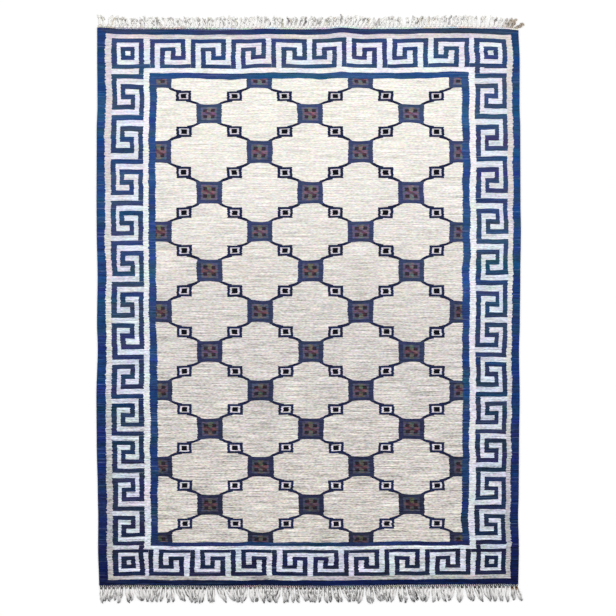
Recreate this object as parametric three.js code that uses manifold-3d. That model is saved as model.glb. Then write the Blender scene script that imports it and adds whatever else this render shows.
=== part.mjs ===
// Flat-woven wool rug, lying flat, with knotted warp fringes at its two ends.
// Millimetres. X runs across the rug, Y along it towards the far end, Z up from the floor.

import * as THREE from 'three';
import { mergeVertices } from 'three/addons/utils/BufferGeometryUtils.js';
import Module from 'manifold-3d';

const wasm = await Module();
wasm.setup();

// The woven cloth
const rugWidth = 2740;
const rugLength = 3605;
const rugThickness = 5;
const edgeRound = 1.5;
const outlineStep = 72;

// The fringe: warp ends gathered in knots along a twined strip
const seat = 0.3;
const stripHeight = 6;
const lockPitch = 26.9;
const tipSpacing = 15;
const leanJitter = 8;
const bowJitter = 1;
const lengthJitter = 0.07;
const lockSides = 4;
const lockCrown = 0.6;

// How far each long side swells beyond the straight line (negative: draws in), by distance from the far end
const sideTable = [
  { down: 0, left: 0, right: -8 },
  { down: 200, left: 0, right: 0 },
  { down: 500, left: -2, right: -1 },
  { down: 650, left: 3, right: 4 },
  { down: 1130, left: 4, right: 5 },
  { down: 1300, left: 3, right: 8 },
  { down: 1610, left: -3, right: 4 },
  { down: 1910, left: 1, right: 1 },
  { down: 2070, left: -4, right: -4 },
  { down: 2380, left: 5, right: 0 },
  { down: 2690, left: 3, right: -4 },
  { down: 3000, left: -4, right: -6 },
  { down: 3160, left: -7, right: -10 },
  { down: 3370, left: -6, right: -5 },
  { down: 3605, left: -13, right: -9 },
];

// How far each end swells beyond the straight line, by distance across from the middle
const endTable = [
  { across: -1370, far: 10, near: 3 },
  { across: -1300, far: 7, near: 2 },
  { across: -1220, far: 0, near: 0 },
  { across: -1090, far: -2, near: 0 },
  { across: -830, far: -1, near: 2 },
  { across: -570, far: -3, near: 4 },
  { across: -420, far: -4, near: 1 },
  { across: -290, far: 2, near: 1 },
  { across: -160, far: -2, near: 3 },
  { across: -30, far: -3, near: 4 },
  { across: 100, far: -1, near: 5 },
  { across: 220, far: 9, near: 4 },
  { across: 350, far: 0, near: 3 },
  { across: 590, far: 0, near: -2 },
  { across: 790, far: 4, near: -3 },
  { across: 1010, far: 6, near: -5 },
  { across: 1140, far: 3, near: -5 },
  { across: 1270, far: 0, near: -7 },
  { across: 1370, far: -8, near: -3 },
];

// Sideways lean of the lock tips at the far end, by distance across
const farLeans = [
  { across: -1350, lean: -18 },
  { across: -1290, lean: 10 },
  { across: -1190, lean: -30 },
  { across: -1080, lean: -8 },
  { across: -950, lean: -24 },
  { across: -800, lean: -20 },
  { across: -600, lean: 0 },
  { across: -200, lean: -6 },
  { across: 0, lean: 26 },
  { across: 150, lean: 8 },
  { across: 420, lean: 32 },
  { across: 600, lean: -14 },
  { across: 700, lean: 22 },
  { across: 850, lean: 4 },
  { across: 950, lean: 16 },
  { across: 1100, lean: -14 },
  { across: 1200, lean: 14 },
  { across: 1290, lean: 34 },
  { across: 1345, lean: 58 },
];

// The same at the near end, where the locks fall in opposed groups
const nearLeans = [
  { across: -1350, lean: 0 },
  { across: -1240, lean: -22 },
  { across: -1130, lean: 28 },
  { across: -980, lean: -16 },
  { across: -810, lean: 30 },
  { across: -720, lean: -26 },
  { across: -540, lean: 32 },
  { across: -420, lean: -16 },
  { across: -330, lean: 22 },
  { across: -210, lean: -8 },
  { across: -30, lean: 16 },
  { across: 60, lean: -10 },
  { across: 200, lean: 26 },
  { across: 330, lean: -12 },
  { across: 450, lean: 26 },
  { across: 560, lean: -12 },
  { across: 670, lean: 28 },
  { across: 770, lean: -6 },
  { across: 850, lean: 16 },
  { across: 910, lean: -12 },
  { across: 1140, lean: 30 },
  { across: 1270, lean: -10 },
  { across: 1350, lean: 26 },
];

// One row for each end of the rug
const ends = {
  far: { side: 1, swell: 'far', strip: 10, lockLength: 72, leans: farLeans, seed: 4127 },
  near: { side: -1, swell: 'near', strip: 14, lockLength: 88, leans: nearLeans, seed: 9311 },
};

// Cross-sections of a lock from its root in the strip to its tip, as shares of the lock's length
const lockSections = [
  { name: 'root', at: -0.07, width: 10, low: 1, high: 5 },
  { name: 'knot', at: 0.07, width: 19, low: 0, high: 9 },
  { name: 'neck', at: 0.2, width: 13, low: 0, high: 6 },
  { name: 'belly', at: 0.62, width: 17, low: 0, high: 8 },
  { name: 'tip', at: 1, width: 11, low: 0, high: 4 },
];

// How the repeatable jitter steps from one whole number to the next
const shuffle = { times: 9301, plus: 49297, within: 233280 };

const wool = { color: 0xd8d4cc, roughness: 0.95, metalness: 0 };
const cotton = { color: 0xe6dfd0, roughness: 0.9, metalness: 0 };

// A column of a table at any place between its rows, eased so that the line has no corners
function lookUp(table, key, column, at) {
  const last = table[table.length - 1];
  if (at <= table[0][key]) {
    return table[0][column];
  }
  if (at >= last[key]) {
    return last[column];
  }
  const next = table.findIndex((row) => row[key] > at);
  const before = table[next - 1];
  const after = table[next];
  const share = (at - before[key]) / (after[key] - before[key]);
  const eased = share * share * (3 - 2 * share);
  return before[column] + (after[column] - before[column]) * eased;
}

// A repeatable run of numbers between -1 and 1
function makeRandom(seed) {
  const { times, plus, within } = shuffle;
  let state = seed;
  return () => {
    state = (state * times + plus) % within;
    return (state / within) * 2 - 1;
  };
}

// Long side of the cloth at height y: side is -1 on the left and 1 on the right
function sideX(y, side) {
  const swell = lookUp(sideTable, 'down', side < 0 ? 'left' : 'right', rugLength / 2 - y);
  return side * (rugWidth / 2 + swell);
}

// End of the cloth at a distance across
function endY(x, end) {
  return end.side * (rugLength / 2 + lookUp(endTable, 'across', end.swell, x));
}

// Evenly spaced values from a start to a stop, both included
function steps(start, stop, size) {
  const count = Math.ceil(Math.abs(stop - start) / size);
  return Array.from({ length: count + 1 }, (_, i) => start + ((stop - start) * i) / count);
}

// The width over which one end runs, corner to corner
function endSpan(end) {
  const y = end.side * (rugLength / 2);
  return { left: sideX(y, -1), right: sideX(y, 1) };
}

function endLine(end, outwards) {
  const span = endSpan(end);
  return steps(span.left, span.right, outlineStep).map(
    (x) => new THREE.Vector2(x, endY(x, end) + end.side * outwards)
  );
}

function sideLine(side) {
  const low = endLine(ends.near, 0).at(side < 0 ? 0 : -1).y;
  const high = endLine(ends.far, 0).at(side < 0 ? 0 : -1).y;
  const line = steps(low, high, outlineStep).map((y) => new THREE.Vector2(sideX(y, side), y));
  return line.slice(1, -1);
}

function clothGeometry() {
  const outline = [
    ...endLine(ends.near, 0),
    ...sideLine(1),
    ...endLine(ends.far, 0).reverse(),
    ...sideLine(-1).reverse(),
  ];
  const geometry = new THREE.ExtrudeGeometry(new THREE.Shape(outline), {
    depth: rugThickness - 2 * edgeRound,
    bevelEnabled: true,
    bevelThickness: edgeRound,
    bevelSize: edgeRound,
    bevelOffset: -edgeRound,
    bevelSegments: 1,
  });
  geometry.translate(0, 0, edgeRound);
  return geometry;
}

// The strip that binds the warp ends, a little off the cloth's own edge
function stripGeometry(end) {
  const outline = [...endLine(end, seat), ...endLine(end, seat + end.strip).reverse()];
  return new THREE.ExtrudeGeometry(new THREE.Shape(outline), { depth: stripHeight, bevelEnabled: false });
}

// Where each lock starts, where its tip falls, and how far its middle bows out
function lockLayout(end) {
  const random = makeRandom(end.seed);
  const span = endSpan(end);
  const count = Math.floor((span.right - span.left) / lockPitch);
  const margin = (span.right - span.left - (count - 1) * lockPitch) / 2;
  const locks = [];
  let lastTip = -Infinity;
  for (let i = 0; i < count; i += 1) {
    const x = span.left + margin + i * lockPitch;
    const root = new THREE.Vector2(x, endY(x, end) + end.side * (seat + end.strip));
    const lean = lookUp(end.leans, 'across', 'lean', x) + leanJitter * random();
    const length = end.lockLength * (1 + lengthJitter * random());
    const tipX = Math.max(x + lean, lastTip + tipSpacing);
    const reach = Math.sqrt(length * length - (tipX - x) ** 2);
    const tip = new THREE.Vector2(tipX, root.y + end.side * reach);
    locks.push({ root, tip, bow: bowJitter * random() });
    lastTip = tipX;
  }
  return locks;
}

// A point of a lock's centre line, at a share of its length
function lockPoint(lock, at) {
  const point = lock.root.clone().lerp(lock.tip, at);
  point.x += lock.bow * 4 * at * (1 - at);
  return point;
}

// Four corners of a lock's section, narrower on top, wound the same way at each one
function sectionCorners(lock, section) {
  const justAhead = section.at + 0.01;
  const centre = lockPoint(lock, section.at);
  const ahead = lockPoint(lock, justAhead).sub(centre).normalize();
  const across = new THREE.Vector2(-ahead.y, ahead.x);
  const bottom = across.clone().multiplyScalar(section.width / 2);
  const top = bottom.clone().multiplyScalar(lockCrown);
  return [
    [centre.x - bottom.x, centre.y - bottom.y, section.low],
    [centre.x + bottom.x, centre.y + bottom.y, section.low],
    [centre.x + top.x, centre.y + top.y, section.high],
    [centre.x - top.x, centre.y - top.y, section.high],
  ];
}

function lockGeometry(lock) {
  const corners = lockSections.flatMap((section) => sectionCorners(lock, section));
  const faces = [0, 2, 1, 0, 3, 2];
  for (let ring = 0; ring < lockSections.length - 1; ring += 1) {
    for (let corner = 0; corner < lockSides; corner += 1) {
      const a = ring * lockSides + corner;
      const b = ring * lockSides + ((corner + 1) % lockSides);
      faces.push(a, b, b + lockSides, a, b + lockSides, a + lockSides);
    }
  }
  const end = (lockSections.length - 1) * lockSides;
  faces.push(end, end + 1, end + 2, end, end + 2, end + 3);
  const geometry = new THREE.BufferGeometry();
  geometry.setAttribute('position', new THREE.Float32BufferAttribute(corners.flat(), 3));
  geometry.setIndex(faces);
  return geometry;
}

function toSolid(geometry) {
  geometry.deleteAttribute('normal');
  geometry.deleteAttribute('uv');
  const merged = mergeVertices(geometry);
  return new wasm.Manifold(
    new wasm.Mesh({
      numProp: 3,
      vertProperties: new Float32Array(merged.attributes.position.array),
      triVerts: new Uint32Array(merged.index.array),
    })
  );
}

function fromSolid(solid) {
  const mesh = solid.getMesh();
  const geometry = new THREE.BufferGeometry();
  geometry.setAttribute('position', new THREE.Float32BufferAttribute(mesh.vertProperties, 3));
  geometry.setIndex(Array.from(mesh.triVerts));
  geometry.computeVertexNormals();
  return geometry;
}

// A strip with all its locks fused on at their roots
function fringeGeometry(end) {
  let fringe = toSolid(stripGeometry(end));
  for (const lock of lockLayout(end)) {
    fringe = fringe.add(toSolid(lockGeometry(lock)));
  }
  return fromSolid(fringe);
}

function addPiece(group, name, geometry, look) {
  const mesh = new THREE.Mesh(geometry, new THREE.MeshStandardMaterial({ ...look, flatShading: true }));
  mesh.name = name;
  group.add(mesh);
}

// The origin ends up on the floor, under the middle of the box around everything
function centreOnFloor(group) {
  const middle = new THREE.Box3().setFromObject(group).getCenter(new THREE.Vector3());
  for (const mesh of group.children) {
    mesh.position.set(-middle.x, -middle.y, 0);
  }
}

const rug = new THREE.Group();
addPiece(rug, 'rug', clothGeometry(), wool);
addPiece(rug, 'fringe_far', fringeGeometry(ends.far), cotton);
addPiece(rug, 'fringe_near', fringeGeometry(ends.near), cotton);
centreOnFloor(rug);

export default rug;
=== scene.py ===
import math
import random

import bmesh
import bpy
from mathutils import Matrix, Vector


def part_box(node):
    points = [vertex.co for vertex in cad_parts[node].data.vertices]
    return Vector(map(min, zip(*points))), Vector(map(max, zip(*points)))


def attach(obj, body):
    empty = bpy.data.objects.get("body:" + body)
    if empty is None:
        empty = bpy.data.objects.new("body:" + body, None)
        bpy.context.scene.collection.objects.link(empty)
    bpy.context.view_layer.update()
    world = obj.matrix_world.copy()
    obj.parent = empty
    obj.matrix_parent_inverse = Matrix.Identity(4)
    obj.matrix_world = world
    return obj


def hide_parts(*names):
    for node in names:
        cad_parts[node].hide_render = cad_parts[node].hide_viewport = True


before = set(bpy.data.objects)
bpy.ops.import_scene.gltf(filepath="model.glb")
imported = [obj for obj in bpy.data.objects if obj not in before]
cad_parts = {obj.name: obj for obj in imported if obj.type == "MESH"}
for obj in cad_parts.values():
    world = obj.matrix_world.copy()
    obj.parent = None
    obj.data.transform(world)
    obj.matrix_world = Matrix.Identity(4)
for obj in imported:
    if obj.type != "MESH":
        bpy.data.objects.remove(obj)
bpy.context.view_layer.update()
mm = 0.001

# The cloth, in millimetres: x across from its middle line, y along it towards the far end
cloth = {
    "width": 2740,
    "length": 3605,
    "thickness": 5,
    "cellsAcross": 150,
    "cellsAlong": 198,
    "endReach": 4,  # the higher, the nearer to the ends their swelling stays
    "rimRound": 1.6,
    "rimSegments": 2,
    "rimAngle": 50,  # in degrees; edges as sharp as this are rounded
    "rimLevel": 1.5,  # if they don't climb further than this
    "ripple": 0.9,  # how far the top rises and falls
    "rippleSize": 230,
    "rippleBend": 2,  # how far its waves wander
    "rippleWander": 1.7,  # and in how many of their sizes
    "rippleAlong": 0.8,
    "rippleSlant": 3,
    "outlineSteps": 200,  # for finding how wide the outline is
}

# How far each long side swells beyond the straight line: distance down from the far end, left, right
sideSwell = [
    (0, 0, -8), (200, 0, 0), (500, -2, -1), (650, 3, 4), (1130, 4, 5), (1300, 3, 8), (1610, -3, 4),
    (1910, 1, 1), (2070, -4, -4), (2380, 5, 0), (2690, 3, -4), (3000, -4, -6), (3160, -7, -10),
    (3370, -6, -5), (3605, -13, -9),
]

# How far each end swells beyond the straight line: distance across, far end, near end
endSwell = [
    (-1370, 10, 3), (-1300, 7, 2), (-1220, 0, 0), (-1090, -2, 0), (-830, -1, 2), (-570, -3, 4),
    (-420, -4, 1), (-290, 2, 1), (-160, -2, 3), (-30, -3, 4), (100, -1, 5), (220, 9, 4), (350, 0, 3),
    (590, 0, -2), (790, 4, -3), (1010, 6, -5), (1140, 3, -5), (1270, 0, -7), (1370, -8, -3),
]

# Borders. Steps inward from the edge: the plain band, a pale guard, seven rows of the key pattern,
# a pale guard, the inner band, the field. Millimetres from the edge to the start of each, for the
# long sides at several distances down from the far end.
sideBorders = {
    "left": [
        (60, [0, 54, 94, 128, 150, 183, 217, 244, 270, 303, 338, 385]),
        (1400, [0, 53, 90, 130, 148, 184, 212, 244, 266, 301, 332, 381]),
        (1900, [0, 61, 91, 131, 147, 184, 211, 245, 266, 302, 335, 383]),
        (2150, [0, 62, 92, 132, 148, 186, 212, 247, 267, 304, 337, 386]),
        (2350, [0, 61, 96, 138, 153, 192, 217, 253, 271, 309, 346, 396]),
        (2780, [0, 61, 96, 138, 152, 191, 215, 252, 271, 309, 347, 397]),
        (3050, [0, 60, 93, 137, 148, 188, 210, 247, 263, 301, 338, 389]),
        (3480, [0, 60, 92, 136, 146, 186, 207, 245, 259, 298, 338, 388]),
    ],
    "right": [
        (60, [0, 49, 83, 114, 139, 167, 204, 232, 256, 290, 329, 376]),
        (1750, [0, 52, 80, 115, 134, 163, 198, 228, 251, 286, 325, 376]),
        (2150, [0, 53, 79, 115, 133, 162, 196, 227, 250, 284, 322, 369]),
        (2850, [0, 54, 80, 116, 131, 161, 194, 226, 248, 282, 322, 369]),
        (3480, [0, 54, 81, 118, 131, 160, 192, 224, 246, 279, 320, 366]),
    ],
}
endBorders = {
    "far": [0, 35, 62, 90, 116, 142, 171, 199, 227, 253, 282, 322],
    "near": [0, 36, 60, 89, 106, 132, 162, 188, 209, 232, 253, 280],
}
borderSteps = range(len(endBorders["far"]))

# Where the key pattern's units start, as the weaver spaced them: the column and the millimetres
endColumns = [-1, 0, 8, 16, 24, 31.5]
endUnits = {
    ("far", "left"): [-1067, -1029, -763, -502, -242, 7],
    ("far", "right"): [1080, 1044, 777, 511, 247, 7],
    ("near", "left"): [-1065, -1037, -771, -506, -237, 13],
    ("near", "right"): [1086, 1052, 788, 526, 262, 13],
}
sideColumns = [-1, 0, 8, 16, 24, 32, 40, 47.5]
sideUnits = {
    ("left", "far"): [1547, 1512, 1246, 960, 688, 430, 166, -88],
    ("left", "near"): [-1573, -1548, -1324, -1077, -837, -596, -340, -88],
    ("right", "far"): [1547, 1518, 1251, 977, 702, 441, 173, -84],
    ("right", "near"): [-1569, -1538, -1312, -1069, -823, -580, -327, -84],
}

# One unit of the key pattern, eight columns by seven rows: left, top, right, bottom of each stroke
keyStrokes = {
    "rise": (0, 0, 1, 7),
    "roof": (0, 0, 7, 1),
    "drop": (6, 0, 7, 5),
    "shelf": (4, 4, 7, 5),
    "hook": (4, 2, 5, 5),
    "lintel": (2, 2, 5, 3),
    "stem": (2, 2, 3, 7),
    "run": (2, 6, 8.2, 7),  # meets the next unit's rise
}

# The trellis of the field: middles of its small squares, across at each end and down the length
trellisColumns = {
    "far": [-809, -482, -156, 173, 500, 830],
    "near": [-801, -473, -142, 179, 506, 834],
}
trellisRows = [1368, 1139, 873, 610, 366, 104, -163, -417, -665, -912, -1158, -1404]


def between(keys, values, at):
    # straight lines through the places given, carried on past both ends
    last = len(keys) - 2
    step = next((i for i in range(last) if (keys[i + 1] - at) * (keys[-1] - keys[0]) > 0), last)
    share = (at - keys[step]) / (keys[step + 1] - keys[step])
    return values[step] + (values[step + 1] - values[step]) * share


def eased(rows, column, at):
    # the same, without corners and level past both ends
    if at <= rows[0][0]:
        return rows[0][column]
    for before, after in zip(rows, rows[1:]):
        if at < after[0]:
            share = (at - before[0]) / (after[0] - before[0])
            return before[column] + (after[column] - before[column]) * share * share * (3 - 2 * share)
    return rows[-1][column]


def sideX(y, side):
    swell = eased(sideSwell, 1 if side < 0 else 2, cloth["length"] / 2 - y)
    return side * (cloth["width"] / 2 + swell)


def endY(x, side):
    return side * (cloth["length"] / 2 + eased(endSwell, 1 if side > 0 else 2, x))


# The CAD's origin is under the middle of the whole box, so the cloth lies a little off its own middle
lowCorner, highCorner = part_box("rug")
shares = [i / cloth["outlineSteps"] - 0.5 for i in range(cloth["outlineSteps"] + 1)]
downLength = [cloth["length"] * share for share in shares]
acrossWidth = [cloth["width"] * share for share in shares]
offMiddle = Vector((
    (lowCorner[0] + highCorner[0]) / 2
    - (min(sideX(y, -1) for y in downLength) + max(sideX(y, 1) for y in downLength)) / 2 * mm,
    (lowCorner[1] + highCorner[1]) / 2
    - (min(endY(x, -1) for x in acrossWidth) + max(endY(x, 1) for x in acrossWidth)) / 2 * mm,
    0,
))


def bandsAt(x, y):
    # how many borders in from the long side and from the end
    side = "left" if x < 0 else "right"
    end = "far" if y > 0 else "near"
    fromSide = abs(x - sideX(y, -1 if x < 0 else 1))
    fromEnd = abs(y - endY(x, 1 if y > 0 else -1))
    places, borders = zip(*sideBorders[side])
    edges = [between(places, edge, cloth["length"] / 2 - y) for edge in zip(*borders)]
    return between(edges, borderSteps, fromSide), between(endBorders[end], borderSteps, fromEnd)


def columnsAt(x, y):
    # which column of the key pattern, along the end and along the side
    end = "far" if y > 0 else "near"
    side = "left" if x < 0 else "right"
    endHalf = "left" if x < endUnits[end, "left"][-1] else "right"
    sideHalf = "far" if y > sideUnits[side, "far"][-1] else "near"
    return (
        between(endUnits[end, endHalf], endColumns, x),
        between(sideUnits[side, sideHalf], sideColumns, y),
    )


def trellisAt(x, y):
    share = 0.5 - y / cloth["length"]
    columns = [a + (b - a) * share for a, b in zip(trellisColumns["far"], trellisColumns["near"])]
    return between(columns, range(len(columns)), x), between(trellisRows, range(len(trellisRows)), y)


def ripple(x, y):
    across, along = x / cloth["rippleSize"], y / cloth["rippleSize"]
    wave = math.sin(across + cloth["rippleBend"] * math.sin(along / cloth["rippleWander"]))
    wave *= math.cos(along / cloth["rippleAlong"] + across / cloth["rippleSlant"])
    return cloth["ripple"] * (0.5 + 0.5 * wave)


def newMesh(name, bm):
    mesh = bpy.data.meshes.new(name)
    bm.to_mesh(mesh)
    bm.free()
    return mesh


def newPiece(name, bm):
    piece = bpy.data.objects.new(name, newMesh(name, bm))
    bpy.context.scene.collection.objects.link(piece)
    return piece


def makeCloth():
    bm = bmesh.new()
    bmesh.ops.create_grid(bm, x_segments=cloth["cellsAcross"], y_segments=cloth["cellsAlong"], size=1)
    for vert in bm.verts:  # the square grid is drawn out to the uneven outline
        across, along = vert.co.x, vert.co.y
        y = along * cloth["length"] / 2
        left, right = sideX(y, -1), sideX(y, 1)
        x = left + (right - left) * (across + 1) / 2
        side = 1 if along > 0 else -1
        y += (endY(x, side) - side * cloth["length"] / 2) * abs(along) ** cloth["endReach"]
        vert.co = (x, y, 0)
    top = bmesh.ops.extrude_face_region(bm, geom=bm.faces[:])
    for vert in (v for v in top["geom"] if isinstance(v, bmesh.types.BMVert)):
        vert.co.z = cloth["thickness"] + ripple(vert.co.x, vert.co.y)
    bmesh.ops.recalc_face_normals(bm, faces=bm.faces)
    sharp = math.radians(cloth["rimAngle"])
    rim = [e for e in bm.edges if len(e.link_faces) == 2 and e.calc_face_angle() > sharp]
    rim = [e for e in rim if abs(e.verts[0].co.z - e.verts[1].co.z) < cloth["rimLevel"]]
    bmesh.ops.bevel(
        bm, geom=rim, offset=cloth["rimRound"], segments=cloth["rimSegments"],
        affect="EDGES", profile=0.5, material=-1,
    )
    maps = {name: bm.loops.layers.uv.new(name) for name in ("bands", "columns", "trellis")}
    places = {}
    for vert in bm.verts:
        x, y = vert.co.x, vert.co.y
        places[vert] = {"bands": bandsAt(x, y), "columns": columnsAt(x, y), "trellis": trellisAt(x, y)}
    for face in bm.faces:
        face.smooth = True
        for loop in face.loops:
            for name, layer in maps.items():
                loop[layer].uv = places[loop.vert][name]
    bmesh.ops.scale(bm, vec=(mm, mm, mm), verts=bm.verts)
    bmesh.ops.translate(bm, vec=offMiddle, verts=bm.verts)
    return newPiece("clothWoven", bm)


def linear(hexColour):
    # sRGB hex to the linear colour that the shaders take
    parts = [int(hexColour[i:i + 2], 16) / 255 for i in (1, 3, 5)]
    return tuple(c / 12.92 if c <= 0.04045 else ((c + 0.055) / 1.055) ** 2.4 for c in parts) + (1,)


def add(tree, kind, *inputs, stops=(), named=None, **settings):
    # a node and its settings; inputs fill its open sockets in turn, named ones the sockets they name
    node = tree.nodes.new("ShaderNode" + kind)
    for name, value in settings.items():
        setattr(node, name, value)
    for i, (at, colour) in enumerate(stops):
        elements = node.color_ramp.elements
        element = elements[i] if i < 2 else elements.new(at)
        element.position, element.color = at, linear(colour)
    pairs = list(zip([s for s in node.inputs if s.enabled], inputs))
    pairs += [(node.inputs[name], value) for name, value in (named or {}).items()]
    for socket, value in pairs:
        if isinstance(value, bpy.types.Node):
            value = next(s for s in value.outputs if s.enabled)
        if isinstance(value, bpy.types.NodeSocket):
            tree.links.new(value, socket)
        else:
            socket.default_value = linear(value) if isinstance(value, str) else value
    return node


def startMaterial(name):
    material = bpy.data.materials.new(name)
    material.use_nodes = True
    material.node_tree.nodes.clear()
    return material, material.node_tree


# What the pattern is made of, in millimetres. The trellis sizes are those of its usual cell.
pattern = {
    "columnSize": (33, 33),
    "borderSize": (30, 30),
    "keyRows": (2, 9),  # the key pattern's first row, counted in borders from the edge, and its end
    "keyUnit": 8,
    "keyGrowth": -0.02,  # the strokes are a little thinner than their rows
    "keyWool": (1.5, 9.5),  # it has a blue of its own, between the middles of both guards
    "cornerRings": 2,  # one ring in two rows
    "farBandRise": 2,  # how soon the outer band's far end turns to the blue of the long sides
    "innerBand": (10, 11),
    "trellisCell": (327, 252),
    "bigSquare": (83, 73),
    "bigSquareHollow": 7,  # how far its ends are drawn in
    "bigFrame": (30, 27),
    "smallSquare": (48.5, 35),
    "smallPale": (30.5, 20.5),
    "smallCore": (18, 15.5),
    "lineStart": 30.5,
    "lineBend": 0.003084,  # the lines rise with the square of the distance
    "lineHalf": 9,
    "lineReach": (16, 108),
}

# The flower in each big square: middle and half size of each block, and its two lots of yarn
flower = {
    "ground": ("#5b5462", "#51545f"),
    "lobes": [
        ((0, -24), (17, 20), "#6e625e", "#5d5f4a"),
        ((0, 24), (17, 20), "#66675f", "#62574e"),
        ((-27, 0), (20, 12), "#625063", "#6f4c49"),
        ((27, 0), (20, 12), "#6a5466", "#795550"),
    ],
    "blocks": ((26, 21), (13, 11), "#33292f"),
    "slant": (0.85, -1.4, 0),
    "slantHalf": 13,
    "slantReach": 30,
    "slantColour": "#55323a",
    "slantStrength": 0.7,
    "brightness": (1.04, 1.13, 1.34),
    "frameGrey": 0.65,  # how much of the frame is its own grey blue
    "frameViolet": 0.25,  # and up to how much violet, square by square
    "fade": (0.15, 0.9, 1.22, 0.5),  # share down the length, and how bright the squares are there
}

# Yarn and hand. Sizes are in millimetres across the cloth, along it and through it.
weave = {
    "rowSize": (200, 8.5, 200),  # each pass of weft strays a little from the chart
    "rowStray": (14, 2.8, 0),
    "handSize": (143, 143, 143),  # and so does the weaver's hand
    "handStray": (16, 16, 16),
    "lotSize": (500, 75, 1000),  # dye lots change in wide stripes
    "lotTint": (3.0, 1.7, 1.5),
    "lotDetail": 3.0,
    "paleLotSize": (190, 190, 190),  # so does the bleach of the pale yarn
    "paleTint": (0.3, 0.24, 0.36),
    "slubSize": (210, 6, 210),  # a row of weft is about 2.5 mm; drawn at 6 mm to show at all
    "fibreSize": (18, 5.3, 18),
    "fibreShare": 0.75,
    "slubByTone": (0.05, 0.7, 2.02, 1.62),  # from dark to pale yarn, and how strong the slubs are there
    "slubByLength": (0.2, 0.75, 0.6, 1.15),  # from share to share down the length
    "speckSize": (17, 6.3, 17),
    "speckTint": (0.4, 0.4, 0.4),
    "pickSize": (400, 7, 400),  # pale picks that stray into the blue
    "pickRange": (0.7, 0.78),
    "pickStrength": (0, 0.2),
    "scrapSize": (24, 13, 24),  # the flowers are woven from scraps
    "scrapTint": (1.9, 0.95, 1.25),
    "bumpStrength": 0.35,
    "bumpDepth": 2,
    "roughness": 0.95,
    "shine": 0.12,
}

# Weft colours, each at several shares of the length from the far end to the near one; most grow darker
# towards the near end
fades = {
    "cream": [
        (0.02, "#e6e6df"), (0.06, "#f1efe6"), (0.2, "#ece8e0"), (0.3, "#e7e3dd"), (0.42, "#dad5cf"),
        (0.55, "#d0cbc7"), (0.7, "#cdc8c3"), (0.84, "#cec8c2"), (0.93, "#c8c3bc"),
    ],
    "guard": [
        (0.0, "#d9d3d6"), (0.3, "#d5cfcf"), (0.52, "#d9dad7"), (0.75, "#bab8bb"), (0.92, "#aaa9ac"),
        (1.0, "#b5b3b3"),
    ],
    "innerPale": [
        (0.0, "#f0f0f4"), (0.3, "#e7e8e9"), (0.52, "#dddee4"), (0.75, "#d4d6da"), (1.0, "#ced3de"),
    ],
    "innerBlue": [
        (0.05, "#2a4a7c"), (0.2, "#2b4c80"), (0.36, "#294a7e"), (0.52, "#274277"), (0.62, "#204070"),
        (0.76, "#1c366a"), (0.86, "#1a305f"), (0.95, "#1e2e56"),
    ],
    "keyPale": [
        (0.0, "#e6e8f0"), (0.3, "#dadee7"), (0.52, "#d0d6e1"), (0.75, "#c9cdd8"), (1.0, "#c6cbd9"),
    ],
    "keyBlue": [
        (0.0, "#344870"), (0.35, "#30456b"), (0.55, "#293b60"), (0.78, "#242f50"), (1.0, "#1a203a"),
    ],
    "blue": [
        (0.02, "#1d3a6e"), (0.12, "#224778"), (0.25, "#214478"), (0.45, "#1e3c71"), (0.6, "#173367"),
        (0.75, "#182b61"), (0.88, "#142355"), (0.94, "#0f1a48"), (0.985, "#0a163e"),
    ],
}
dyes = {
    "farBand": "#2c3b61",
    "strayPick": "#8c9fc2",
    "trellisLine": "#1c2140",
    "smallSquare": "#1d2546",
    "smallPale": "#d2cdd4",
    "smallCore": "#0b0c16",
    "bigFrame": "#3f4358",
    "bigFrameViolet": "#352f62",
}


def yarnNoise(tree, place, size, detail=1.0):
    # a noise whose waves have the given size in millimetres
    waves = add(tree, "VectorMath", place, tuple(1 / (s * mm) for s in size), operation="MULTIPLY")
    return add(tree, "TexNoise", waves, 1.0, detail)


def yarnStray(tree, place, size, detail=1.0):
    # three such noises at once, each as far below nought as above
    noise = yarnNoise(tree, place, size, detail)
    return add(tree, "VectorMath", noise.outputs["Color"], (0.5, 0.5, 0.5), operation="SUBTRACT")


def inLots(tree, colour, place, size, tint, detail=1.0, mean=(1, 1, 1)):
    # yarn that came from many lots, each a little off in its red, green and blue
    lot = yarnStray(tree, place, size, detail)
    lot = add(tree, "VectorMath", lot, tint, mean, operation="MULTIPLY_ADD")
    return add(tree, "VectorMath", colour, lot, operation="MULTIPLY")


def awayFromBox(tree, point, middle, half):
    # how far outside the box a point is; below nought inside it
    offset = add(tree, "VectorMath", point, (*middle, 0), operation="SUBTRACT")
    spread = add(tree, "VectorMath", offset, operation="ABSOLUTE")
    beyond = add(tree, "SeparateXYZ", add(tree, "VectorMath", spread, (*half, 0), operation="SUBTRACT"))
    return add(tree, "Math", beyond.outputs[0], beyond.outputs[1], operation="MAXIMUM")


def insideBox(tree, point, middle, half):
    return add(tree, "Math", awayFromBox(tree, point, middle, half), 0.0, operation="LESS_THAN")


def strayedMap(tree, stray, name, size):
    # one of the cloth's own maps, moved by the stray in that map's units
    scaled = add(tree, "VectorMath", stray, (1 / size[0], 1 / size[1], 0), operation="MULTIPLY")
    moved = add(tree, "VectorMath", add(tree, "UVMap", uv_map=name), scaled, operation="ADD")
    return add(tree, "SeparateXYZ", moved)


def keyPatternCover(tree, depth, column):
    # the strokes of one unit, over and over
    unit = add(tree, "Math", column, pattern["keyUnit"], operation="FLOORED_MODULO")
    row = add(tree, "Math", depth, pattern["keyRows"][0], operation="SUBTRACT")
    chart = add(tree, "CombineXYZ", unit, row)
    key = None
    for left, top, right, bottom in keyStrokes.values():
        middle = ((left + right) / 2, (top + bottom) / 2)
        half = ((right - left) / 2, (bottom - top) / 2)
        stroke = awayFromBox(tree, chart, middle, half)
        key = stroke if key is None else add(tree, "Math", key, stroke, operation="MINIMUM")
    return add(tree, "Math", key, pattern["keyGrowth"], operation="LESS_THAN")


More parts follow.
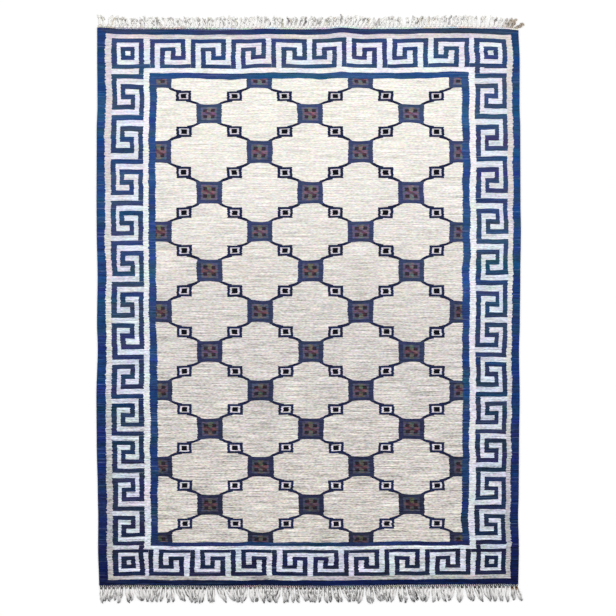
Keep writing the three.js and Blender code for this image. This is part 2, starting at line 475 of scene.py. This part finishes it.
def cornerSquareCover(tree, fromSide, fromEnd):
    # rings one row wide, counted from the square's edge inward
    first, end = pattern["keyRows"]
    half = (end - first) / 2
    point = add(tree, "CombineXYZ", fromSide, fromEnd)
    away = awayFromBox(tree, point, (first + half, first + half), (half, half))
    ring = add(tree, "Math", away, -1 / pattern["cornerRings"], operation="MULTIPLY")
    ring = add(tree, "Math", ring, operation="FRACT")
    inRing = add(tree, "Math", ring, 1 / pattern["cornerRings"], operation="LESS_THAN")
    inside = add(tree, "Math", away, 0.0, operation="LESS_THAN")
    return add(tree, "Math", inRing, inside, operation="MULTIPLY")


def borderCovers(tree, bands, columns, down):
    # which parts of the borders are blue, which blue it is, and where the field starts
    fromSide, fromEnd = bands.outputs[0], bands.outputs[1]
    inEnd = add(tree, "Math", fromEnd, fromSide, operation="LESS_THAN")
    depth = add(tree, "Math", fromSide, fromEnd, operation="MINIMUM")
    farther = add(tree, "Math", fromSide, fromEnd, operation="MAXIMUM")
    column = add(tree, "Mix", inEnd, columns.outputs[1], columns.outputs[0], data_type="FLOAT")
    keyEnd = pattern["keyRows"][1]
    pastCorner = add(tree, "Math", farther, keyEnd, operation="GREATER_THAN")
    key = add(tree, "Math", keyPatternCover(tree, depth, column), pastCorner, operation="MULTIPLY")
    corner = cornerSquareCover(tree, fromSide, fromEnd)
    outerBand = add(tree, "Math", depth, 1.0, operation="LESS_THAN")
    first, end = pattern["innerBand"]
    innerBand = add(tree, "Math", depth, (first + end) / 2, (end - first) / 2, operation="COMPARE")
    blue = key
    for cover in (corner, outerBand, innerBand):
        blue = add(tree, "Math", blue, cover, operation="MAXIMUM")
    pastBand = add(tree, "Math", depth, pattern["keyWool"][0], operation="GREATER_THAN")
    beforeInner = add(tree, "Math", depth, pattern["keyWool"][1], operation="LESS_THAN")
    fromFarEnd = add(tree, "Math", down, pattern["farBandRise"], fromEnd, operation="MULTIPLY_ADD")
    farBand = add(tree, "Math", fromFarEnd, 1.0, operation="LESS_THAN")
    return {
        "blue": blue,
        "field": add(tree, "Math", depth, end, operation="GREATER_THAN"),
        "guard": add(tree, "Math", depth, pattern["keyRows"][0], operation="LESS_THAN"),
        "key": add(tree, "Math", pastBand, beforeInner, operation="MULTIPLY"),
        "inner": add(tree, "Math", depth, keyEnd, operation="GREATER_THAN"),
        "innerBand": innerBand,
        "farBand": add(tree, "Math", farBand, inEnd, operation="MULTIPLY"),
    }


def foldTrellis(tree, trellis):
    # folded so that each cell has its line and its quarter of a big square in one place
    cells, offsets = [], []
    for k in (0, 1):
        cells.append(add(tree, "Math", trellis.outputs[k], operation="ROUND"))
        part = add(tree, "Math", trellis.outputs[k], cells[k], operation="SUBTRACT")
        offsets.append(add(tree, "Math", part, pattern["trellisCell"][k], operation="MULTIPLY"))
    both = add(tree, "Math", *cells, operation="ADD")
    odd = add(tree, "Math", both, 2.0, operation="FLOORED_MODULO")
    lean = add(tree, "Math", odd, -2.0, 1.0, operation="MULTIPLY_ADD")
    way = add(tree, "Math", offsets[0], operation="SIGN")
    ways = [way, add(tree, "Math", way, lean, operation="MULTIPLY")]
    folded, fromSquare, inSquare, squareMiddle = [], [], [], []
    for k in (0, 1):
        folded.append(add(tree, "Math", offsets[k], ways[k], operation="MULTIPLY"))
        half = pattern["trellisCell"][k] / 2
        fromSquare.append(add(tree, "Math", folded[k], half, operation="SUBTRACT"))
        inSquare.append(add(tree, "Math", fromSquare[k], ways[k], operation="MULTIPLY"))
        squareMiddle.append(add(tree, "Math", ways[k], 0.5, cells[k], operation="MULTIPLY_ADD"))
    return {
        "small": add(tree, "CombineXYZ", *offsets),
        "folded": folded,
        "fromSquare": fromSquare,
        "inSquare": add(tree, "CombineXYZ", *inSquare),
        "lot": add(tree, "TexWhiteNoise", add(tree, "CombineXYZ", *squareMiddle)).outputs["Color"],
    }


def trellisLineCover(tree, folded):
    # lines from the small squares to the corners of the big ones
    bent = add(tree, "Math", folded[0], 2.0, operation="POWER")
    middle = add(tree, "Math", bent, pattern["lineBend"], pattern["lineStart"], operation="MULTIPLY_ADD")
    near = add(tree, "Math", folded[1], middle, pattern["lineHalf"], operation="COMPARE")
    start, end = pattern["lineReach"]
    inReach = add(tree, "Math", folded[0], (start + end) / 2, (end - start) / 2, operation="COMPARE")
    return add(tree, "Math", near, inReach, operation="MULTIPLY")


def bigSquareCover(tree, fromSquare):
    # its top and bottom edges are drawn in towards the middle
    wide, high = pattern["bigSquare"]
    mouth = add(tree, "Math", fromSquare[0], wide, operation="DIVIDE")
    mouth = add(tree, "Math", mouth, 2.0, operation="POWER")
    hollow = add(tree, "Math", mouth, -1.0, 1.0, operation="MULTIPLY_ADD")
    aways = []
    for k, half in enumerate((wide, high)):
        spread = add(tree, "Math", fromSquare[k], operation="ABSOLUTE")
        aways.append(add(tree, "Math", spread, half, operation="SUBTRACT"))
    depth = pattern["bigSquareHollow"]
    aways[1] = add(tree, "Math", hollow, depth, aways[1], operation="MULTIPLY_ADD")
    away = add(tree, "Math", *aways, operation="MAXIMUM")
    return add(tree, "Math", away, 0.0, operation="LESS_THAN")


def bigSquareColour(tree, place, fold, blue, down):
    # a blue frame round a small flower, each square in its own lots of yarn
    lot = add(tree, "SeparateXYZ", fold["lot"])
    inSquare = fold["inSquare"]
    frameBlue = add(tree, "Mix", flower["frameGrey"], blue, dyes["bigFrame"], data_type="RGBA")
    violet = add(tree, "Math", lot.outputs[0], flower["frameViolet"], operation="MULTIPLY")
    frameBlue = add(tree, "Mix", violet, frameBlue, dyes["bigFrameViolet"], data_type="RGBA")
    panel = add(tree, "Mix", lot.outputs[1], *flower["ground"], data_type="RGBA")
    for middle, half, first, second in flower["lobes"]:
        yarn = add(tree, "Mix", lot.outputs[2], first, second, data_type="RGBA")
        panel = add(tree, "Mix", insideBox(tree, inSquare, middle, half), panel, yarn, data_type="RGBA")
    middle, half, blockColour = flower["blocks"]
    mirrored = add(tree, "VectorMath", inSquare, operation="ABSOLUTE")
    block = insideBox(tree, mirrored, middle, half)
    panel = add(tree, "Mix", block, panel, blockColour, data_type="RGBA")
    slant = add(tree, "VectorMath", inSquare, flower["slant"], operation="DOT_PRODUCT").outputs["Value"]
    onSlant = add(tree, "Math", slant, 0.0, flower["slantHalf"], operation="COMPARE")
    fromMiddle = add(tree, "VectorMath", inSquare, operation="LENGTH").outputs["Value"]
    nearMiddle = add(tree, "Math", fromMiddle, flower["slantReach"], operation="LESS_THAN")
    slantCover = add(tree, "Math", onSlant, nearMiddle, operation="MULTIPLY")
    slantCover = add(tree, "Math", slantCover, flower["slantStrength"], operation="MULTIPLY")
    panel = add(tree, "Mix", slantCover, panel, flower["slantColour"], data_type="RGBA")
    lots = weave["scrapSize"], weave["scrapTint"]
    panel = inLots(tree, panel, place, *lots, mean=flower["brightness"])
    panelHalf = [pattern["bigSquare"][k] - pattern["bigFrame"][k] for k in (0, 1)]
    inPanel = insideBox(tree, inSquare, (0, 0), panelHalf)
    colour = add(tree, "Mix", inPanel, frameBlue, panel, data_type="RGBA")
    fade = add(tree, "MapRange", down, *flower["fade"])
    return add(tree, "VectorMath", colour, fade, operation="SCALE")


def clothMaterial():
    # Wool weft beaten down over cotton warp: matt, ribbed across, with slubs and uneven dye lots
    material, tree = startMaterial("handwovenWool")
    place = add(tree, "TexCoord").outputs["Object"]
    halfLength = cloth["length"] / 2 * mm
    down = add(tree, "MapRange", add(tree, "SeparateXYZ", place).outputs[1], halfLength, -halfLength)

    rowStray = yarnStray(tree, place, weave["rowSize"])
    rowStray = add(tree, "VectorMath", rowStray, weave["rowStray"], operation="MULTIPLY")
    handStray = yarnStray(tree, place, weave["handSize"])
    stray = add(tree, "VectorMath", handStray, weave["handStray"], rowStray, operation="MULTIPLY_ADD")
    bands = strayedMap(tree, stray, "bands", pattern["borderSize"])
    columns = strayedMap(tree, stray, "columns", pattern["columnSize"])
    trellis = strayedMap(tree, stray, "trellis", pattern["trellisCell"])
    covers = borderCovers(tree, bands, columns, down)
    fold = foldTrellis(tree, trellis)

    colours = {name: add(tree, "ValToRGB", down, stops=stops) for name, stops in fades.items()}

    # blue wool, dyed in lots, with pale picks here and there
    blue = add(tree, "Mix", covers["key"], colours["blue"], colours["keyBlue"], data_type="RGBA")
    blue = add(tree, "Mix", covers["innerBand"], blue, colours["innerBlue"], data_type="RGBA")
    blue = add(tree, "Mix", covers["farBand"], blue, dyes["farBand"], data_type="RGBA")
    blue = inLots(tree, blue, place, weave["lotSize"], weave["lotTint"], detail=weave["lotDetail"])
    pick = yarnNoise(tree, place, weave["pickSize"], detail=0.0)
    pick = add(tree, "MapRange", pick, *weave["pickRange"], *weave["pickStrength"])
    blue = add(tree, "Mix", pick, blue, dyes["strayPick"], data_type="RGBA")

    # pale borders and cream field under the blue
    wool = add(tree, "Mix", covers["guard"], colours["keyPale"], colours["guard"], data_type="RGBA")
    wool = add(tree, "Mix", covers["inner"], wool, colours["innerPale"], data_type="RGBA")
    wool = inLots(tree, wool, place, weave["paleLotSize"], weave["paleTint"])
    wool = add(tree, "Mix", covers["field"], wool, colours["cream"], data_type="RGBA")
    wool = add(tree, "Mix", covers["blue"], wool, blue, data_type="RGBA")

    # the trellis over the field
    line = trellisLineCover(tree, fold["folded"])
    field = add(tree, "Mix", line, wool, dyes["trellisLine"], data_type="RGBA")
    for name in ("smallSquare", "smallPale", "smallCore"):
        inside = insideBox(tree, fold["small"], (0, 0), pattern[name])
        field = add(tree, "Mix", inside, field, dyes[name], data_type="RGBA")
    bigSquare = bigSquareColour(tree, place, fold, blue, down)
    inside = bigSquareCover(tree, fold["fromSquare"])
    field = add(tree, "Mix", inside, field, bigSquare, data_type="RGBA")
    wool = add(tree, "Mix", covers["field"], wool, field, data_type="RGBA")

    # slubs and fibres lighten and darken every colour, more so towards the near end
    slub = yarnNoise(tree, place, weave["slubSize"])
    fibre = yarnNoise(tree, place, weave["fibreSize"])
    slub = add(tree, "Math", fibre, weave["fibreShare"], slub, operation="MULTIPLY_ADD")
    middle = 0.5 + 0.5 * weave["fibreShare"]
    swing = add(tree, "Math", slub, middle, operation="SUBTRACT")
    strength = add(tree, "MapRange", add(tree, "RGBToBW", wool), *weave["slubByTone"])
    stronger = add(tree, "MapRange", down, *weave["slubByLength"])
    strength = add(tree, "Math", strength, stronger, operation="MULTIPLY")
    swing = add(tree, "Math", swing, strength, 1.0, operation="MULTIPLY_ADD")
    wool = add(tree, "VectorMath", wool, swing, operation="SCALE")
    wool = inLots(tree, wool, place, weave["speckSize"], weave["speckTint"], detail=0.0)

    bump = add(tree, "Bump", named={
        "Strength": weave["bumpStrength"], "Distance": weave["bumpDepth"] * mm, "Height": slub,
    })
    shader = add(tree, "BsdfPrincipled", named={
        "Base Color": wool, "Roughness": weave["roughness"], "Specular IOR Level": weave["shine"],
        "Normal": bump,
    })
    add(tree, "OutputMaterial", shader)
    return material


# The fringes. The far one is short, curly and bright, the near one longer and thicker, and greyer with
# more painted shade.
fringes = {
    "far": {
        "side": 1,
        "strip": 10,
        "lockLength": 72,
        "seed": 4127,
        "twist": (1.5, 4),  # radians from root to tip
        "curl": 7,
        "shadeSwing": 0.22,  # painted shade: how much darker the plies beneath are
        "lockTone": 0.36,  # and how much one lock is lighter than another
        "tone": 0.7,
        "knotTone": (0, 1),
        "plies": 4,
        "plyRadius": [(-0.07, 2.4), (0.1, 3.4), (0.6, 3.6), (1, 2.8)],  # share of the length, radius
        "cut": (0.74, 1.02),  # where the plies end, as shares of the lock
        "spread": 0.75,  # how far the plies part, against the lock's half width
        "sweep": 0.2,  # how much further the tips lean than the lock
        "pairing": 3,  # how far the tips of two neighbours are drawn together
        "stainedOrShaded": 0.22,  # share of the plies painted beige, olive or grey as shade on the shaded sides of the curls
        "corner": {  # the brown locks at the right: where they start, how far down they are brown
            "from": 1225, "fade": 70, "strength": 0.85, "until": 1.2, "thicker": 0.5,
        },
        "leans": [
            (-1350, -18), (-1290, 10), (-1190, -30), (-1080, -8), (-950, -24), (-800, -20), (-600, 0),
            (-200, -6), (0, 26), (150, 8), (420, 32), (600, -14), (700, 22), (850, 4), (950, 16),
            (1100, -14), (1200, 14), (1290, 34), (1345, 58),
        ],
    },
    "near": {
        "side": -1,
        "strip": 14,
        "lockLength": 88,
        "seed": 9311,
        "twist": (0.8, 2.4),
        "curl": 4,
        "shadeSwing": 0.5,
        "lockTone": 0.1,
        "tone": 0.53,
        "knotTone": (0.05, 0.65),
        "plies": 3,
        "plyRadius": [(-0.07, 3), (0.08, 5), (0.5, 7), (0.85, 6.4), (1, 3.4)],
        "cut": (0.97, 1.13),
        "spread": 0.6,
        "sweep": 0.3,
        "pairing": 8,
        "stainedOrShaded": 0.0,
        "corner": {"from": 1305, "fade": 15, "strength": 0.9, "until": 0.3, "thicker": 0.2},
        "leans": [
            (-1350, 0), (-1240, -22), (-1130, 28), (-980, -16), (-810, 30), (-720, -26), (-540, 32),
            (-420, -16), (-330, 22), (-210, -8), (-30, 16), (60, -10), (200, 26), (330, -12), (450, 26),
            (560, -12), (670, 28), (770, -6), (850, 16), (910, -12), (1140, 30), (1270, -10), (1350, 26),
        ],
    },
}
locks = {
    "seat": 0.3,  # the gap to the cloth, as in the CAD
    "pitch": 26.9,
    "tipSpacing": 15,
    "leanJitter": 8,
    "bowJitter": 1,
    "lengthJitter": 0.07,
    "sections": [(-0.07, 6), (0.07, 12), (0.2, 9), (0.62, 17), (1, 15)],  # share of the length, width
    "startShare": -0.07,  # the plies start inside the cord
    "rings": 9,
    "sides": 5,
    "rise": 1.3,  # half of how far a ply climbs over the others
    "lift": 0.2,  # how high the curls stand, against how wide they are
    "liftRadians": 9,
    "curlTurns": (1.2, 2.6),
    "curlLag": 0.3,
    "ownCurl": 0.7,  # how far a ply curls away on its own, against the lock's curl
    "ownTone": 0.18,
    # painted shade on the far fringe: how strong its beige, olive and grey marks are, and where in the
    # ramp they fall
    "paintedShadeStrength": (0.35, 0.9),
    "paintedShadeRange": (0, 0.9),
    "plyFlat": 0.5,
    "pathNudge": 0.001,  # over this share of a path its direction is taken
    "knotCuts": (8, 5),
    "knot": (9.5, 8, 5),  # half sizes: across, along, up
    "knotOut": 6,
    "knotShare": 0.05,  # a knot has the colour of the yarn this far down the lock, its painted root shade included
}
cords = {
    "radius": 3.2,
    "flat": 0.6,
    "inset": 5,
    "height": (3.2, 2.4),  # its lowest middle, and half of how far it rises
    "turnsPerLock": 2,
    "ringsPerTurn": 6,
    "sides": 5,
    "tones": (0.1, 0.9),
    "mark": -0.2,  # what the thread map holds on the cord instead of a share of the length
}
shuffle = {"times": 9301, "plus": 49297, "within": 233280}


def repeatableRun(seed):
    # numbers between -1 and 1, the same ones as in the CAD
    state = seed
    while True:
        state = (state * shuffle["times"] + shuffle["plus"]) % shuffle["within"]
        yield state / shuffle["within"] * 2 - 1


def lockLayout(end):
    # where each lock starts, where its tip falls and how far its middle bows out
    run = repeatableRun(end["seed"])
    y = end["side"] * cloth["length"] / 2
    left, right = sideX(y, -1), sideX(y, 1)
    count = int((right - left) / locks["pitch"])
    margin = (right - left - (count - 1) * locks["pitch"]) / 2
    laid = []
    lastTip = -math.inf
    for i in range(count):
        x = left + margin + i * locks["pitch"]
        rootY = endY(x, end["side"]) + end["side"] * (locks["seat"] + end["strip"])
        lean = eased(end["leans"], 1, x) + locks["leanJitter"] * next(run)
        length = end["lockLength"] * (1 + locks["lengthJitter"] * next(run))
        tipX = max(x + lean, lastTip + locks["tipSpacing"])
        reach = math.sqrt(length ** 2 - (tipX - x) ** 2)
        laid.append({
            "root": Vector((x, rootY, 0)),
            "tip": Vector((tipX, rootY + end["side"] * reach, 0)),
            "bow": locks["bowJitter"] * next(run),
            "pairing": end["pairing"] * (-1) ** i,
        })
        lastTip = tipX
    return laid


def tubeTemplate(sides, rings):
    # a closed tube one unit long, to be laid along a path
    bm = bmesh.new()
    bmesh.ops.create_circle(bm, cap_ends=True, segments=sides, radius=1)
    cap = bm.faces[:]
    for ring in range(rings):
        step = bmesh.ops.extrude_face_region(bm, geom=cap)
        cap = [f for f in step["geom"] if isinstance(f, bmesh.types.BMFace)]
        moved = [v for v in step["geom"] if isinstance(v, bmesh.types.BMVert)]
        bmesh.ops.translate(bm, vec=(0, 0, 1 / rings), verts=moved)
    bmesh.ops.recalc_face_normals(bm, faces=bm.faces)
    return newMesh("tube", bm)


def ballTemplate():
    bm = bmesh.new()
    around, upward = locks["knotCuts"]
    bmesh.ops.create_uvsphere(bm, u_segments=around, v_segments=upward, radius=1)
    return newMesh("ball", bm)


def addCopy(bm, template, placeVert):
    # a copy of a small mesh; placeVert gives each vertex its new place and its marks in both maps
    firstVert, firstFace = len(bm.verts), len(bm.faces)
    bm.from_mesh(template)
    bm.verts.ensure_lookup_table()
    bm.faces.ensure_lookup_table()
    marks = {}
    for vert in bm.verts[firstVert:]:
        vert.co, marks[vert] = placeVert(vert.co)
    threadMap, dyeAndShadeMap = bm.loops.layers.uv["thread"], bm.loops.layers.uv["dyeAndShade"]
    for face in bm.faces[firstFace:]:
        face.smooth = True
        for loop in face.loops:
            loop[threadMap].uv, loop[dyeAndShadeMap].uv = marks[loop.vert]


def layPly(bm, template, pathAt, radiusAt, marksAt, flat):
    # the tube is bent along a path and pressed flat by its own weight
    nudge = locks["pathNudge"]
    frames = {}

    def placeVert(co):
        share = round(co.z, 4)
        if share not in frames:
            here = pathAt(share)
            onward = (pathAt(share + nudge) - pathAt(share - nudge)).normalized()
            across = onward.cross(Vector((0, 0, 1))).normalized()
            radius = radiusAt(share)
            frames[share] = (here, across * radius, across.cross(onward) * radius * flat)
        here, across, upward = frames[share]
        return here + across * co.x + upward * co.y, marksAt(share)

    addCopy(bm, template, placeVert)


def layLock(bm, ply, ball, end, lock, chance):
    # its plies, twisted round each other, and a knot where it leaves the cord
    root, tip = lock["root"], lock["tip"]
    along = (tip - root).normalized()
    across = Vector((-along.y, along.x, 0))
    length = (tip - root).length
    begin = locks["startShare"]
    brown = end["corner"]
    phase = chance.uniform(0, math.tau)
    twist = chance.choice((-1, 1)) * chance.uniform(*end["twist"])
    curlPhase, curlTurns = chance.uniform(0, math.tau), chance.uniform(*locks["curlTurns"])
    lockTone = end["tone"] + end["lockTone"] * chance.uniform(-1, 1)
    corner = max(0, min(1, (root.x - brown["from"]) / brown["fade"]))
    sweep = (tip.x - root.x) * end["sweep"] * (1 - corner) + lock["pairing"]
    for k in range(end["plies"]):
        start = phase + math.tau * k / end["plies"]
        cut = chance.uniform(*end["cut"])
        stray = chance.uniform(-1, 1) * end["curl"] * locks["ownCurl"]
        lot = chance.uniform(-1, 1)
        # some plies are painted beige, olive or grey as shade on the shaded sides of the curls
        dyeAndShade = (0, 0)
        if chance.random() < end["stainedOrShaded"]:
            dyeAndShade = (chance.uniform(*locks["paintedShadeStrength"]), chance.uniform(*locks["paintedShadeRange"]))

        def radiusAt(share):
            return between(*zip(*end["plyRadius"]), share) * (1 + brown["thicker"] * corner)

        def pathAt(share):
            at = begin + (cut - begin) * share
            out = max(0, at)
            width = between(*zip(*locks["sections"]), at) / 2 * end["spread"]
            angle = start + twist * at
            sideways = width * math.cos(angle) + lock["bow"] * 4 * at * (1 - at)
            curlAngle = curlPhase + curlTurns * math.tau * at + locks["curlLag"] * start
            sideways += end["curl"] * math.sin(curlAngle) * out + stray * out ** 2
            height = locks["plyFlat"] * radiusAt(share) + locks["rise"] * (1 + math.sin(angle))
            lift = locks["lift"] * end["curl"] * out
            height += lift * (1 + math.cos(curlPhase + locks["liftRadians"] * at))
            place = root + along * length * at + across * sideways
            return place + Vector((sweep * out ** 2, 0, height))

        def marksAt(share):
            # painted light and shade: plies that lie on top of their lock are painted lighter, those
            # beneath grey
            angle = start + twist * (begin + (cut - begin) * share)
            tone = lockTone + end["shadeSwing"] * math.sin(angle) + locks["ownTone"] * lot
            stainedOrShaded = corner > 0 and share < brown["until"]
            return (share, tone), (corner * brown["strength"], 1) if stainedOrShaded else dyeAndShade

        layPly(bm, ply, pathAt, radiusAt, marksAt, locks["plyFlat"])

    wide, deep, high = locks["knot"]
    marks = ((locks["knotShare"], chance.uniform(*end["knotTone"])), (corner * brown["strength"], 1))
    middle = root + along * locks["knotOut"] + Vector((0, 0, high))
    addCopy(bm, ball, lambda co: (
        middle + along * co.y * deep + across * co.x * wide + Vector((0, 0, co.z * high)), marks,
    ))


def layCord(bm, end):
    # two strands twined along the cloth's edge, which bind the warp ends
    side = end["side"]
    y = side * cloth["length"] / 2
    left, right = sideX(y, -1) + cords["inset"], sideX(y, 1) - cords["inset"]
    turns = (right - left) / locks["pitch"] * cords["turnsPerLock"]
    strand = tubeTemplate(cords["sides"], round(turns * cords["ringsPerTurn"]))
    low, rise = cords["height"]
    swing = end["strip"] / 2 - cords["radius"]
    for lag, tone in zip((0, math.pi), cords["tones"]):
        def pathAt(share):
            x = left + (right - left) * share
            angle = math.tau * turns * share + lag
            middle = endY(x, side) + side * (locks["seat"] + end["strip"] / 2)
            return Vector((x, middle + swing * math.cos(angle), low + rise * (1 + math.sin(angle))))

        layPly(
            bm, strand, pathAt, lambda share: cords["radius"],
            lambda share: ((cords["mark"], tone), (0, 0)), cords["flat"],
        )


def makeFringe(name, end):
    chance = random.Random(end["seed"])
    bm = bmesh.new()
    for layer in ("thread", "dyeAndShade"):
        bm.loops.layers.uv.new(layer)
    ply = tubeTemplate(locks["sides"], locks["rings"])
    ball = ballTemplate()
    for lock in lockLayout(end):
        layLock(bm, ply, ball, end, lock, chance)
    layCord(bm, end)
    bmesh.ops.recalc_face_normals(bm, faces=bm.faces)
    bmesh.ops.scale(bm, vec=(mm, mm, mm), verts=bm.verts)
    bmesh.ops.translate(bm, vec=offMiddle, verts=bm.verts)
    return newPiece(name, bm)


cotton = {
    "fuzzSize": (9, 9, 9),  # loose hairs
    "fuzzDetail": 2.0,
    "fuzzTone": 0.8,
    "cordLotSize": (110, 110, 110),
    "cordTint": (0.9, 0.9, 0.9),
    "roughness": 0.95,
    "shine": 0.12,
}

# The yarns of the fringes: down each ply, with painted shade at root and tip; painted shade from the
# plies beneath to those on top; the cord's own; and the stains: painted shade on the far fringe's curls,
# and the real brown of the corner locks
fringeYarns = {
    "cottonWarpFar": {
        # painted shade: a little darker at the root and at the tip
        "along": [
            (0.0, "#f6f3ee"), (0.15, "#fefcf9"), (0.6, "#fffdfa"), (0.9, "#fffdf8"), (1.0, "#fbf7f0"),
        ],
        "tone": [(0.0, "#d6cfc6"), (0.12, "#f1ede8"), (0.24, "#fdfcfa"), (0.4, "#ffffff")],
        "cord": [(0.0, "#dedee4"), (1.0, "#fcfcfe")],
        # painted shade of the curls in beige, olive, violet grey and dark, then the brown of the corner
        # locks at the end
        "stainAndShade": [
            (0.0, "#c4b394"), (0.3, "#b0b18b"), (0.55, "#9b91a6"), (0.8, "#83736e"), (1.0, "#a3917c"),
        ],
    },
    "cottonWarpNear": {
        # painted shade: dark at the root under the cord and darker still at the tips
        "along": [
            (0.0, "#999796"), (0.08, "#b4b2b1"), (0.2, "#efedeb"), (0.6, "#e6e4e3"), (0.88, "#aeadae"),
            (1.0, "#5e5d5e"),
        ],
        "tone": [
            (0.0, "#4e4d4d"), (0.2, "#757473"), (0.42, "#b4b2b1"), (0.62, "#f2f1f0"), (0.75, "#ffffff"),
        ],
        "cord": [(0.0, "#2a2c2f"), (0.4, "#6c6e71"), (1.0, "#e6e5e6")],
        "stainAndShade": [(0.0, "#8c6a4c"), (1.0, "#805c38")],
    },
}


def fringeMaterial(name):
    # Unbleached cotton warp, loosely plied: matt and cream, with grey shade painted where the plies
    # shade each other
    material, tree = startMaterial(name)
    yarns = fringeYarns[name]
    thread = add(tree, "SeparateXYZ", add(tree, "UVMap", uv_map="thread"))
    dyeAndShade = add(tree, "SeparateXYZ", add(tree, "UVMap", uv_map="dyeAndShade"))
    place = add(tree, "TexCoord").outputs["Object"]
    fuzz = yarnStray(tree, place, cotton["fuzzSize"], detail=cotton["fuzzDetail"])
    fuzz = add(tree, "SeparateXYZ", fuzz)
    fuzz = add(tree, "Math", fuzz.outputs[0], cotton["fuzzTone"], operation="MULTIPLY")
    tone = add(tree, "Math", fuzz, thread.outputs[1], operation="ADD")
    yarn = add(tree, "ValToRGB", thread.outputs[0], stops=yarns["along"])
    # painted curl shade on the far fringe, and the real brown of the corner locks
    stainAndShade = add(tree, "ValToRGB", dyeAndShade.outputs[1], stops=yarns["stainAndShade"])
    yarn = add(tree, "Mix", dyeAndShade.outputs[0], yarn, stainAndShade, data_type="RGBA")
    # the tone ramp turns each ply's own tone, with its painted shade, into grey to white
    shade = add(tree, "ValToRGB", tone, stops=yarns["tone"])
    yarn = add(tree, "VectorMath", yarn, shade, operation="MULTIPLY")
    # the binding cord is twined from two yarns, in lots that change along the edge
    cord = add(tree, "ValToRGB", tone, stops=yarns["cord"])
    cord = inLots(tree, cord, place, cotton["cordLotSize"], cotton["cordTint"])
    onCord = add(tree, "Math", thread.outputs[0], cords["mark"] / 2, operation="LESS_THAN")
    yarn = add(tree, "Mix", onCord, yarn, cord, data_type="RGBA")
    shader = add(tree, "BsdfPrincipled", named={
        "Base Color": yarn, "Roughness": cotton["roughness"], "Specular IOR Level": cotton["shine"],
    })
    add(tree, "OutputMaterial", shader)
    return material


clothPiece = makeCloth()
clothPiece.data.materials.append(clothMaterial())
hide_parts("rug")
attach(clothPiece, "root")
print("cloth", len(clothPiece.data.polygons), "faces")

farPiece = makeFringe("fringeFarLocks", fringes["far"])
farPiece.data.materials.append(fringeMaterial("cottonWarpFar"))
nearPiece = makeFringe("fringeNearLocks", fringes["near"])
nearPiece.data.materials.append(fringeMaterial("cottonWarpNear"))
for piece, node in ((farPiece, "fringe_far"), (nearPiece, "fringe_near")):
    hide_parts(node)
    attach(piece, "root")
    print(piece.name, len(piece.data.polygons), "faces")

# Floor, lights and camera
studio = {
    "floorSize": 60,
    "floorColour": "#fbfbfb",
    "floorDrop": 0.0005,  # below the rug, metres
    "skyColour": "#ffffff",
    "skyStrength": 0.84,
    "sunStrength": 0.88,
    "sunAngle": 30,
    "sunTurn": (38, 0, 35),
    "cameraHeight": 22,
    "pictureWidth": 3.995,  # how much of the floor the picture shows, metres
    "sensor": 36,
    "farClip": 200,
    "aim": (-2.9, -6.5),  # the picture's middle from the cloth's, millimetres
}
floorMesh = bmesh.new()
bmesh.ops.create_grid(floorMesh, x_segments=1, y_segments=1, size=studio["floorSize"] / 2)
bmesh.ops.translate(floorMesh, vec=(0, 0, -studio["floorDrop"]), verts=floorMesh.verts)
floor = newPiece("floor", floorMesh)
floorPaint, floorTree = startMaterial("whitePaper")  # matt studio paper
floorShader = add(floorTree, "BsdfPrincipled", named={
    "Base Color": studio["floorColour"], "Roughness": 1, "Specular IOR Level": 0,
})
add(floorTree, "OutputMaterial", floorShader)
floor.data.materials.append(floorPaint)

world = bpy.data.worlds.new("studio")
world.use_nodes = True
sky = world.node_tree.nodes["Background"]
sky.inputs["Color"].default_value = linear(studio["skyColour"])
sky.inputs["Strength"].default_value = studio["skyStrength"]
bpy.context.scene.world = world
bpy.context.scene.view_settings.view_transform = "Standard"

sun = bpy.data.lights.new("softLamp", "SUN")
sun.energy = studio["sunStrength"]
sun.angle = math.radians(studio["sunAngle"])
lamp = bpy.data.objects.new("softLamp", sun)
lamp.rotation_euler = [math.radians(a) for a in studio["sunTurn"]]
bpy.context.scene.collection.objects.link(lamp)

lensData = bpy.data.cameras.new("camera")
lensData.sensor_width = studio["sensor"]
lensData.lens = studio["sensor"] * studio["cameraHeight"] / studio["pictureWidth"]
lensData.clip_end = studio["farClip"]
camera = bpy.data.objects.new("camera", lensData)
aimX, aimY = studio["aim"]
camera.location = (offMiddle.x + aimX * mm, offMiddle.y + aimY * mm, studio["cameraHeight"])
bpy.context.scene.collection.objects.link(camera)
bpy.context.scene.camera = camera
print("studio ready")
